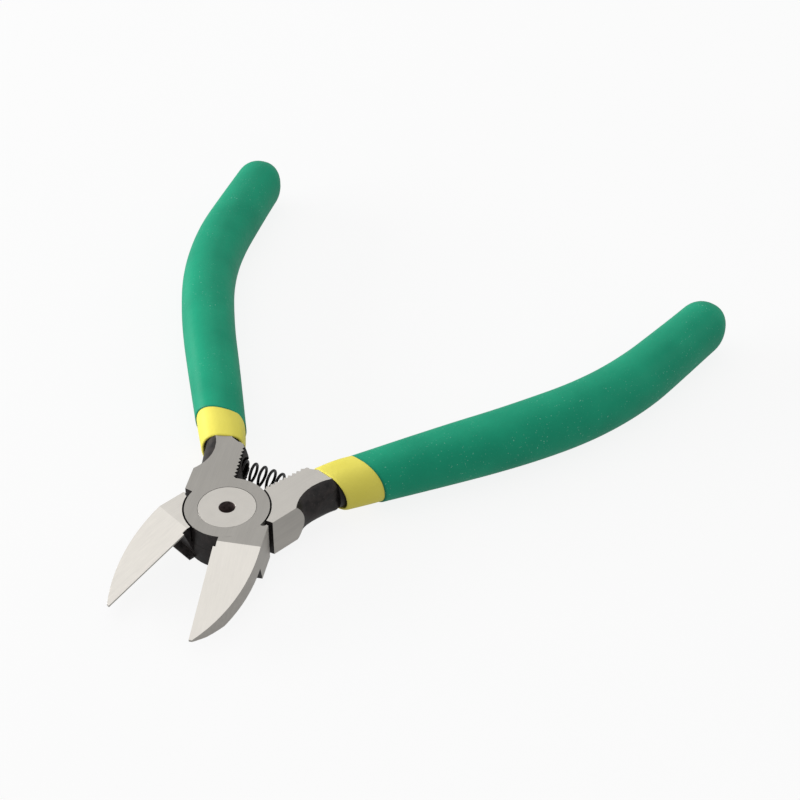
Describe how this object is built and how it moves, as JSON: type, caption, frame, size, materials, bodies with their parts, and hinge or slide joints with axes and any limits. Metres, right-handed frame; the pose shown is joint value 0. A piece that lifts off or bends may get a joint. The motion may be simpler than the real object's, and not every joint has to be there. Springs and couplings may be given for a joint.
{
  "type": "flush cut pliers",
  "caption": "Small spring-opened flush cutter with sloping pointed jaws, a round lap joint with a flush rivet, and two-coat dipped grips.",
  "frame": {"origin": "on the pivot axis, at the flat back face of the joint", "axes": "+X along the tool from the pivot towards the grips, +Y across it towards the upper lever's grip, +Z along the pivot axis out of the flush side"},
  "size_m": [0.1139, 0.1044, 0.0109],
  "materials": {
    "steel": "fine ground",
    "rivet": "ground",
    "spring": "black oiled wire",
    "undercoat": "dipped soft vinyl",
    "grip": "dipped soft vinyl"
  },
  "bodies": {
    "lower_half": {"lower_lever": "steel", "pivot_rivet": "rivet", "return_spring": "spring", "lower_undercoat": "undercoat", "lower_grip": "grip"},
    "upper_half": {"upper_lever": "steel", "upper_undercoat": "undercoat", "upper_grip": "grip"}
  },
  "joints": [
    {"name": "pivot", "type": "hinge", "parent": "lower_half", "child": "upper_half", "pos_m": [0, 0, 0], "axis": [0, 0, 1], "range_deg": [-35.8, 6], "stiffness_Nm_per_rad": 0.02, "deforming": ["return_spring"]}
  ]
}
